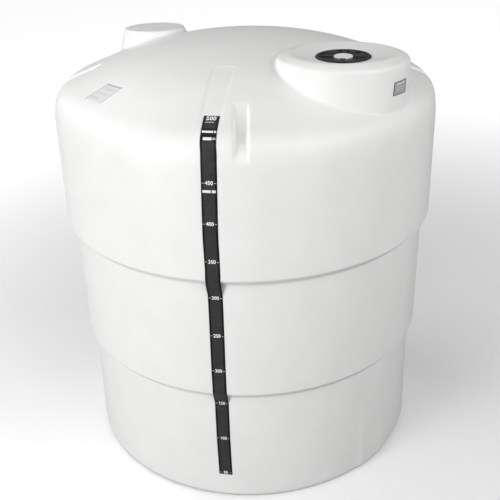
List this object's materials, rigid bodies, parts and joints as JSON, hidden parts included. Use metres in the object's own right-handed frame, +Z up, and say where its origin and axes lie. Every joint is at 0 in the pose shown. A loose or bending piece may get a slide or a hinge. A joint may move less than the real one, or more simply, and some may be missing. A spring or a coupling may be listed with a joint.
{
  "type": "vertical storage tank",
  "caption": "Upright round plastic liquid tank with stepped tapering walls, crowned top, offset manway boss with screw lid, rear fitting boss and level strip.",
  "frame": {"origin": "on the tank's axis, in the plane of its flat base", "axes": "+Z up along the tank's axis; -Y towards the front, where the level strip runs down the wall; +X to the right as seen from the front"},
  "size_m": [1.35, 1.35, 1.531],
  "materials": {
    "moulded_shell": "natural white moulded polyethylene, satin, slightly translucent",
    "white_fitting": "white moulded plastic, satin",
    "black_plastic": "black moulded polypropylene, satin",
    "seal_rubber": "black rubber ring",
    "strip_film": "black printed film, lightly crinkled",
    "label_film": "grey printed film, no lettering"
  },
  "bodies": {
    "tank": {"base_plate": "moulded_shell", "lower_wall_1": "moulded_shell", "lower_wall_2": "moulded_shell", "lower_wall_3": "moulded_shell", "lower_wall_4": "moulded_shell", "lower_wall_5": "moulded_shell", "lower_wall_6": "moulded_shell", "middle_wall_1": "moulded_shell", "middle_wall_2": "moulded_shell", "middle_wall_3": "moulded_shell", "middle_wall_4": "moulded_shell", "middle_wall_5": "moulded_shell", "middle_wall_6": "moulded_shell", "upper_wall_1": "moulded_shell", "upper_wall_2": "moulded_shell", "upper_wall_3": "moulded_shell", "upper_wall_4": "moulded_shell", "upper_wall_5": "moulded_shell", "upper_wall_6": "moulded_shell", "top_sector_1": "moulded_shell", "top_sector_2": "moulded_shell", "top_sector_3": "moulded_shell", "top_sector_4": "moulded_shell", "top_sector_5": "moulded_shell", "top_sector_6": "moulded_shell", "crown_cap": "moulded_shell", "strap_slot_1": "moulded_shell", "strap_slot_2": "moulded_shell", "strap_slot_3": "moulded_shell", "strap_slot_4": "moulded_shell", "manway_drum": "moulded_shell", "manway_dish": "moulded_shell", "rear_boss_drum": "moulded_shell", "rear_boss_top": "moulded_shell", "outlet_flat": "moulded_shell", "lid_collar": "white_fitting", "level_strip_lower": "strip_film", "level_strip_middle": "strip_film", "level_strip_upper": "strip_film", "level_strip_top": "strip_film", "dome_label": "label_film", "manway_label": "label_film"},
    "seal": {"lid_seal": "seal_rubber"},
    "lid": {"lid": "black_plastic", "lid_hub": "white_fitting"}
  },
  "joints": [
    {"name": "lid_rise", "type": "slide", "parent": "tank", "child": "seal", "axis": [0, 0, 1], "range_m": [0, 0.016]},
    {"name": "lid_turn", "type": "hinge", "parent": "seal", "child": "lid", "pos_m": [0.3119, -0.296, 1.5], "axis": [0, 0, 1], "range_deg": [0, 720]}
  ],
  "couplings": [
    {"joint": "lid_rise", "follows": "lid_turn", "m_per_rad": 0.001273}
  ]
}
